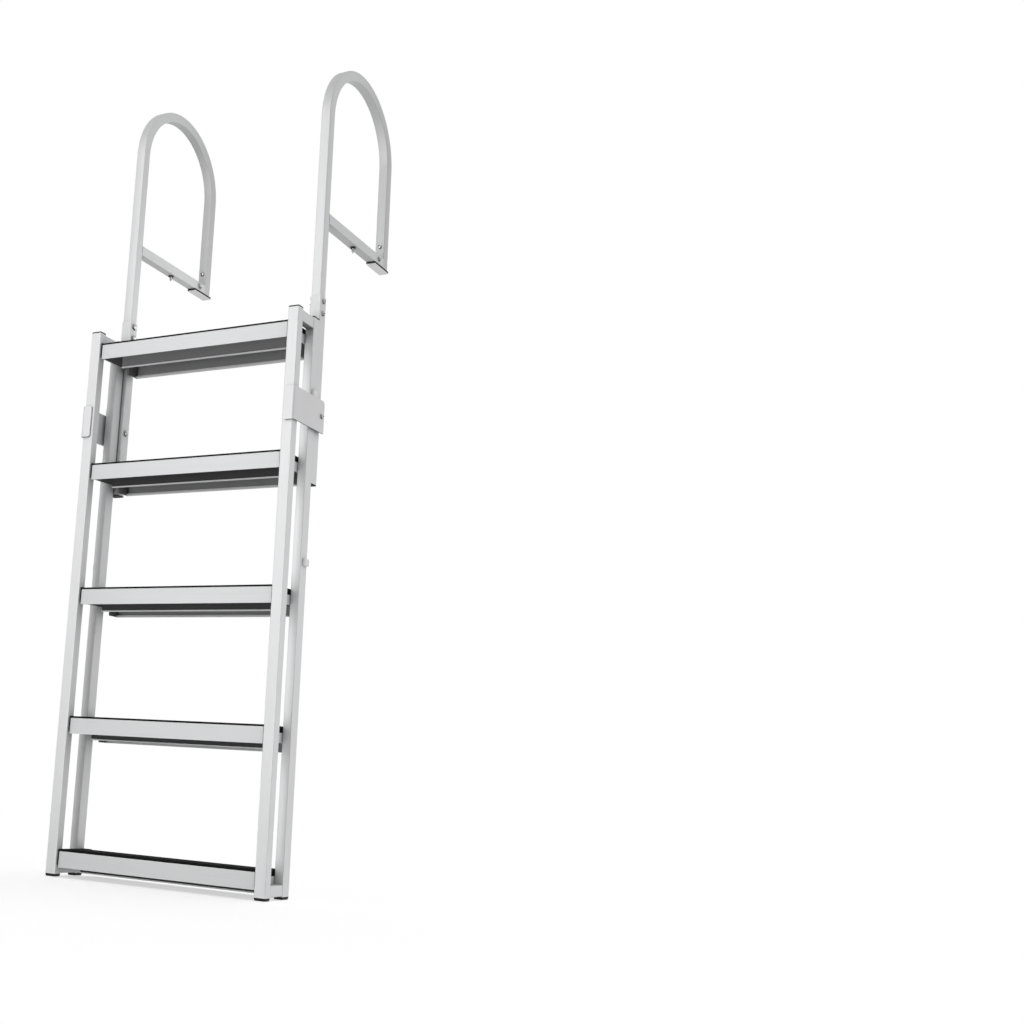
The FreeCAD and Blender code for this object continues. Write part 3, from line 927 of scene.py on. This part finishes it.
def threaded_end(radius, length, pitch, depth, point, base):
    rows = int(length / pitch * rows_per_turn)
    rings = []
    for row in range(rows + 1):
        height = base + length * row / rows
        left = base + length - height
        taper = min(1.0, left / point) if point else 1.0

        def ring(angle, height=height, taper=taper):
            phase = (height / pitch - angle / (2 * math.pi)) % 1.0
            ridge = depth * (1.0 - abs(2.0 * phase - 1.0))
            return max(thinnest_point, (radius - depth + ridge) * taper), height

        rings.append(ring)
    return turned_rings(rings)


print("a thread is cut in", rows_per_turn, "rows a turn")

# %% [markdown]
# Placing a fastener.
# The turned shapes all stand on the origin and point up. One helper joins the shapes of a
# fastener into one mesh, turns it the way it goes in and puts it on its face. All the
# fasteners sit on the fixed frame.

# %% Place a fastener
def fastener(name, parts, place, toward, finish=bolt_steel):
    points = []
    faces = []
    for part_points, part_faces in parts:
        start = len(points)
        points += part_points
        faces += [tuple(start + i for i in face) for face in part_faces]
    mesh = bpy.data.meshes.new(name)
    mesh.from_pydata(points, [], faces)
    turn = Vector(toward).to_track_quat("Z", "Y").to_matrix().to_4x4()
    mesh.transform(Matrix.Translation(place) @ turn)
    smooth_shade(mesh)
    mesh.materials.append(finish)
    piece = bpy.data.objects.new(name, mesh)
    scene.collection.objects.link(piece)
    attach(piece, "dock_frame")
    return piece


outer_way = {"left": Vector((-1.0, 0.0, 0.0)), "right": Vector((1.0, 0.0, 0.0))}


def faces_across(node, outward):
    low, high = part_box(node)
    outer, inner = (high.x, low.x) if outward.x > 0 else (low.x, high.x)
    return outer, inner


for side, outward in outer_way.items():
    print("post_" + side, "from x = %.4f to %.4f" % faces_across("post_" + side, outward))

# %% [markdown]
# The post bolts.
# The front leg of each rail slips down into its post, and two bolts go through both. Their
# round heads sit on the outer face, and low domed nuts close the threads on the inner face,
# so that nothing catches a swimmer's hand and the treads slide past with room to spare.
# Places come from the solids: the axis of the post, and two heights below its top.

# %% Bolt the rails into the posts
post_bolt_drops = (0.012, 0.042)     # below the top of the post
washer_radius = 0.0062
washer_thickness = 0.0014
head_radius = 0.0054
head_height = 0.0036
key_flats = 0.0040
nut_washer_radius = 0.0078
nut_flats = 0.0130
nut_height = 0.0040
nut_dome_radius = nut_flats * 0.45
nut_dome = 0.0020


def head_parts():
    return [washer(washer_radius, washer_thickness, 0.0),
            socket_head(head_radius, head_height, washer_thickness, key_flats)]


def domed_nut_parts():
    return [washer(nut_washer_radius, washer_thickness, 0.0),
            hexagon(nut_flats, nut_height, washer_thickness),
            dome(nut_dome_radius, nut_dome, washer_thickness + nut_height)]


def bolt_through(label, place_out, place_in, outward):
    fastener(label + "_head", head_parts(), place_out, outward)
    fastener(label + "_nut", domed_nut_parts(), place_in, -outward)


for side, outward in outer_way.items():
    outer, inner = faces_across("post_" + side, outward)
    low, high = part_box("post_" + side)
    for number, drop in enumerate(post_bolt_drops, start=1):
        y, z = (low.y + high.y) / 2, high.z - drop
        bolt_through("post_bolt_%s_%d" % (side, number), Vector((outer, y, z)),
                     Vector((inner, y, z)), outward)
print("post bolts at heights", [round(high.z - drop, 4) for drop in post_bolt_drops])

# %% [markdown]
# The guide bracket's bolt.
# One bolt per side holds the bent guide plate on its post. The solid stands in for it with
# a plain hexagon. The piece below takes its place, from the same box: round socket head and
# washer outside, a locking nut inside with the thread's end showing.

# %% Replace the bracket bolts
lock_nut_height = 0.0048             # its six flats
lock_collar_radius = nut_flats * 0.44
lock_collar_base = 0.00474
lock_collar_height = 0.00168
lock_thread_base = 0.00588
lock_thread_length = 0.0016
lock_thread_pitch = 0.0010
lock_thread_depth = 0.0003
lock_thread_radius = 0.0038


def lock_nut_parts():
    return [hexagon(nut_flats, lock_nut_height, 0.0),
            dome(lock_collar_radius, lock_collar_height, lock_collar_base),
            threaded_end(lock_thread_radius, lock_thread_length, lock_thread_pitch,
                         lock_thread_depth, 0.0, lock_thread_base)]


for side, outward in outer_way.items():
    outer = faces_across("guide_bracket_" + side, outward)[0]
    inner = faces_across("post_" + side, outward)[1]
    low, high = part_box("bracket_bolt_" + side)
    y, z = (low.y + high.y) / 2, (low.z + high.z) / 2
    head = fastener("bracket_bolt_head_" + side, head_parts(), Vector((outer, y, z)),
                    outward)
    fastener("bracket_bolt_nut_" + side, lock_nut_parts(), Vector((inner, y, z)), -outward)
    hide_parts("bracket_bolt_" + side)
print("bracket bolt at y %.4f, z %.4f" % (y, z))

# %% [markdown]
# The bolts of the rear foot.
# At the rear, the dock tube ends against the front of the rear leg. One bolt goes through
# the dock tube from side to side, and another through the rear leg from front to back. Both
# are the same bolt as in the posts.

# %% Bolt the rear feet
foot_bolt_setback = 0.0185           # in front of the foot's middle
foot_bolt_height = 0.0195
leg_bolt_height = 0.0655
forward = Vector((0.0, -1.0, 0.0))

for side, outward in outer_way.items():
    low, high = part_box("dock_tube_" + side)
    outer, inner = faces_across("dock_tube_" + side, outward)
    x, leg_front, leg_back = (low.x + high.x) / 2, high.y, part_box("handrail_" + side)[1].y
    bolt_through("foot_bolt_" + side, Vector((outer, -foot_bolt_setback, foot_bolt_height)),
                 Vector((inner, -foot_bolt_setback, foot_bolt_height)), outward)
    bolt_through("leg_bolt_" + side, Vector((x, leg_front, leg_bolt_height)),
                 Vector((x, leg_back, leg_bolt_height)), forward)
print("rear legs are %.1f mm deep" % (1000 * (leg_back - leg_front)))

# %% [markdown]
# The dock screws.
# Farther forward a screw goes down into the dock: its head lies inside the tube, under a
# wide access hole, and a black washer seals it underneath. Its place is in the record of
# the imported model, as one of the mounts.

# %% Screw the rails to the dock
seal_radius = 0.0070
seal_thickness = 0.0030
screw_radius = 0.0038
screw_length = 0.0135
screw_pitch = 0.0030
screw_thread_depth = 0.0009
screw_point = 0.0060
screw_head_flats = 0.0130
screw_head_height = 0.0052
screw_washer_radius = screw_head_flats * 0.6
tube_wall = 0.0015
upward, downward = Vector((0.0, 0.0, 1.0)), Vector((0.0, 0.0, -1.0))

for side in outer_way:
    low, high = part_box("dock_tube_" + side)
    x = (low.x + high.x) / 2
    screw_y = next(mount["pos_m"][1] for mount in frame["record"]["mounts"]
                   if mount["name"] == "dock_screw_" + side)
    under = Vector((x, screw_y, low.z))
    fastener("screw_seal_" + side, [washer(seal_radius, seal_thickness, 0.0)], under,
             downward, foot_rubber)
    fastener("dock_screw_" + side,
             [threaded_end(screw_radius, screw_length, screw_pitch, screw_thread_depth,
                           screw_point, seal_thickness)], under, downward)
    fastener("dock_screw_head_" + side,
             [washer(screw_washer_radius, washer_thickness, 0.0),
              hexagon(screw_head_flats, screw_head_height, washer_thickness)],
             Vector((x, screw_y, low.z + tube_wall)), upward)
print("dock screws at y %.4f" % screw_y)

# %% [markdown]
# The rims of the dock pads.
# Between each dock tube and its foot plate lies a black moulded pad, whose rim laps a
# little over the plate's edge and hides the joint. The pad's solid is a plain slab, so the
# rim is a piece of its own. It could be a swept bar, but a sweep pinches at four sharp
# turns. Instead one rounded outline is drawn at every height of the rim's section, each
# time a little larger or smaller, and faces join the loops into a ring.

# %% Lap the rims round the foot plates
rim_lap = 0.0014             # over the edge of the foot plate
rim_proud = 0.0004
rim_wall = 0.0012
rim_corner = 0.0015
rim_eased = 0.0003
rim_steps = 4


def grown_outline(low, high, grow):
    outline = []
    corners = ((high.x, high.y, 1, 1), (low.x, high.y, -1, 1),
               (low.x, low.y, -1, -1), (high.x, low.y, 1, -1))
    for quarter, (x, y, right, back) in enumerate(corners):
        for step in range(rim_steps + 1):
            angle = quarter_turn * (quarter + step / rim_steps)
            outline.append((x + right * (grow - rim_corner) + rim_corner * math.cos(angle),
                            y + back * (grow - rim_corner) + rim_corner * math.sin(angle)))
    return outline


def rim_ring(name, low, high):
    bottom, top = low.z - rim_lap, high.z
    section = [(rim_proud - rim_eased, bottom), (rim_proud, bottom + rim_eased),
               (rim_proud, top - rim_eased), (rim_proud - rim_eased, top),
               (-rim_wall, top), (-rim_wall, bottom)]
    loops = [[(x, y, z) for x, y in grown_outline(low, high, grow)] for grow, z in section]
    count = len(loops[0])
    faces = []
    for row in range(len(loops)):
        above = (row + 1) % len(loops)
        for i in range(count):
            j = (i + 1) % count
            faces.append((row * count + i, row * count + j,
                          above * count + j, above * count + i))
    mesh = bpy.data.meshes.new(name)
    mesh.from_pydata([point for loop in loops for point in loop], [], faces)
    smooth_shade(mesh)
    mesh.materials.append(cap_plastic)
    ring = bpy.data.objects.new(name, mesh)
    scene.collection.objects.link(ring)
    return ring


for side in outer_way:
    rim = rim_ring("pad_rim_" + side, *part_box("foot_pad_" + side))
    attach(rim, "dock_frame")
print("pad rims with", len(rim.data.polygons), "faces each")

# %% [markdown]
